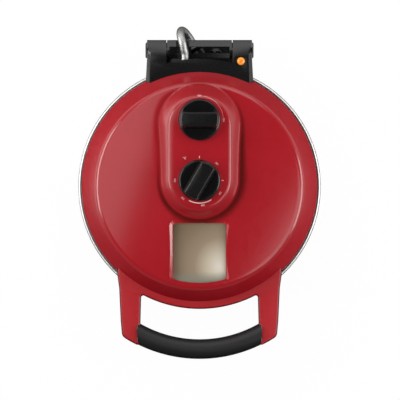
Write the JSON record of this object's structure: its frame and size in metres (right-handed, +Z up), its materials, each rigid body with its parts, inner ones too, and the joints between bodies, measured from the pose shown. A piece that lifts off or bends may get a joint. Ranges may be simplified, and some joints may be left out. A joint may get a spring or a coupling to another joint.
{
  "type": "electric pizza maker",
  "caption": "Round countertop pizza oven with a red hinged lid, steel base, two dials, a window, a curved front grip and a ribbed rear cable hose.",
  "frame": {"origin": "on the resting surface, in the middle of the object's footprint", "axes": "+Z up, +Y from the front handle towards the rear hinge, +X to the right seen from the front"},
  "size_m": [0.35, 0.4794, 0.1832],
  "materials": {
    "red_enamel": "gloss heat-proof enamel",
    "red_plastic": "gloss heat-proof plastic in the lid's red",
    "stainless": "brushed",
    "hose_steel": "bright, ribbed",
    "aluminised_steel": "satin reflector",
    "black_plastic": "satin heat-proof plastic",
    "black_rubber": "matte",
    "ceramic": "rough, unglazed",
    "smoked_glass": "clear, smoked",
    "zinc_steel": "zinc plated",
    "element_steel": "oxidised dark",
    "switch_plastic": "matte thermoset",
    "orange_lens": "translucent",
    "clear_glass": "clear",
    "copper": "bright copper"
  },
  "bodies": {
    "base": {"base_cover": "black_plastic", "foot_front_left": "black_rubber", "foot_front_right": "black_rubber", "foot_rear_left": "black_rubber", "foot_rear_right": "black_rubber", "base_screw_1": "zinc_steel", "base_screw_2": "zinc_steel", "base_screw_3": "zinc_steel", "base_screw_4": "zinc_steel", "base_ring": "stainless", "cooking_pan": "aluminised_steel", "pizza_stone": "ceramic", "heat_shield": "aluminised_steel", "lower_element": "element_steel", "lower_element_clip_1": "zinc_steel", "lower_element_clip_2": "zinc_steel", "terminal_block": "switch_plastic", "thermal_fuse": "clear_glass", "hinge_bracket": "black_plastic", "bracket_screw_1": "zinc_steel", "bracket_screw_2": "zinc_steel", "base_conduit_gland": "zinc_steel", "mains_gland": "black_plastic", "conduit": "hose_steel"},
    "lid": {"lid_shell": "red_enamel", "lid_liner": "aluminised_steel", "window_glass": "smoked_glass", "window_frame": "black_plastic", "upper_element": "element_steel", "upper_element_clip_1": "zinc_steel", "upper_element_clip_2": "zinc_steel", "power_switch": "switch_plastic", "thermostat": "switch_plastic", "thermostat_bulb": "copper", "bulb_clip": "zinc_steel", "control_nut_power": "zinc_steel", "control_nut_temperature": "zinc_steel", "hinge_cover": "black_plastic", "hinge_screw_1": "zinc_steel", "hinge_screw_2": "zinc_steel", "lid_conduit_ferrule": "zinc_steel", "hinge_pin_right": "zinc_steel", "hinge_pin_left": "zinc_steel", "hinge_cap_right": "black_plastic", "hinge_cap_left": "black_plastic", "lamp_lens": "orange_lens", "neon_lamp": "clear_glass", "handle_bracket": "red_plastic", "handle_screw_1": "zinc_steel", "handle_screw_2": "zinc_steel", "handle_screw_3": "zinc_steel", "handle_screw_4": "zinc_steel", "grip_screw_1": "zinc_steel", "grip_screw_2": "zinc_steel", "handle_rod": "zinc_steel", "handle_grip": "black_rubber"},
    "power": {"power_dial": "black_plastic", "power_shaft": "zinc_steel"},
    "temperature": {"temperature_dial": "black_plastic", "temperature_shaft": "zinc_steel"}
  },
  "joints": [
    {"name": "lid_open", "type": "hinge", "parent": "base", "child": "lid", "pos_m": [0, 0.2049, 0.096], "axis": [-1, 0, 0], "range_deg": [0, 95], "deforming": ["conduit"]},
    {"name": "power_turn", "type": "hinge", "parent": "lid", "child": "power", "pos_m": [0, 0.104, 0.16], "axis": [0, 0, -1], "range_deg": [-90, 0]},
    {"name": "temperature_turn", "type": "hinge", "parent": "lid", "child": "temperature", "pos_m": [0, 0.0171, 0.16], "axis": [0, 0, -1], "range_deg": [-30, 240]}
  ]
}
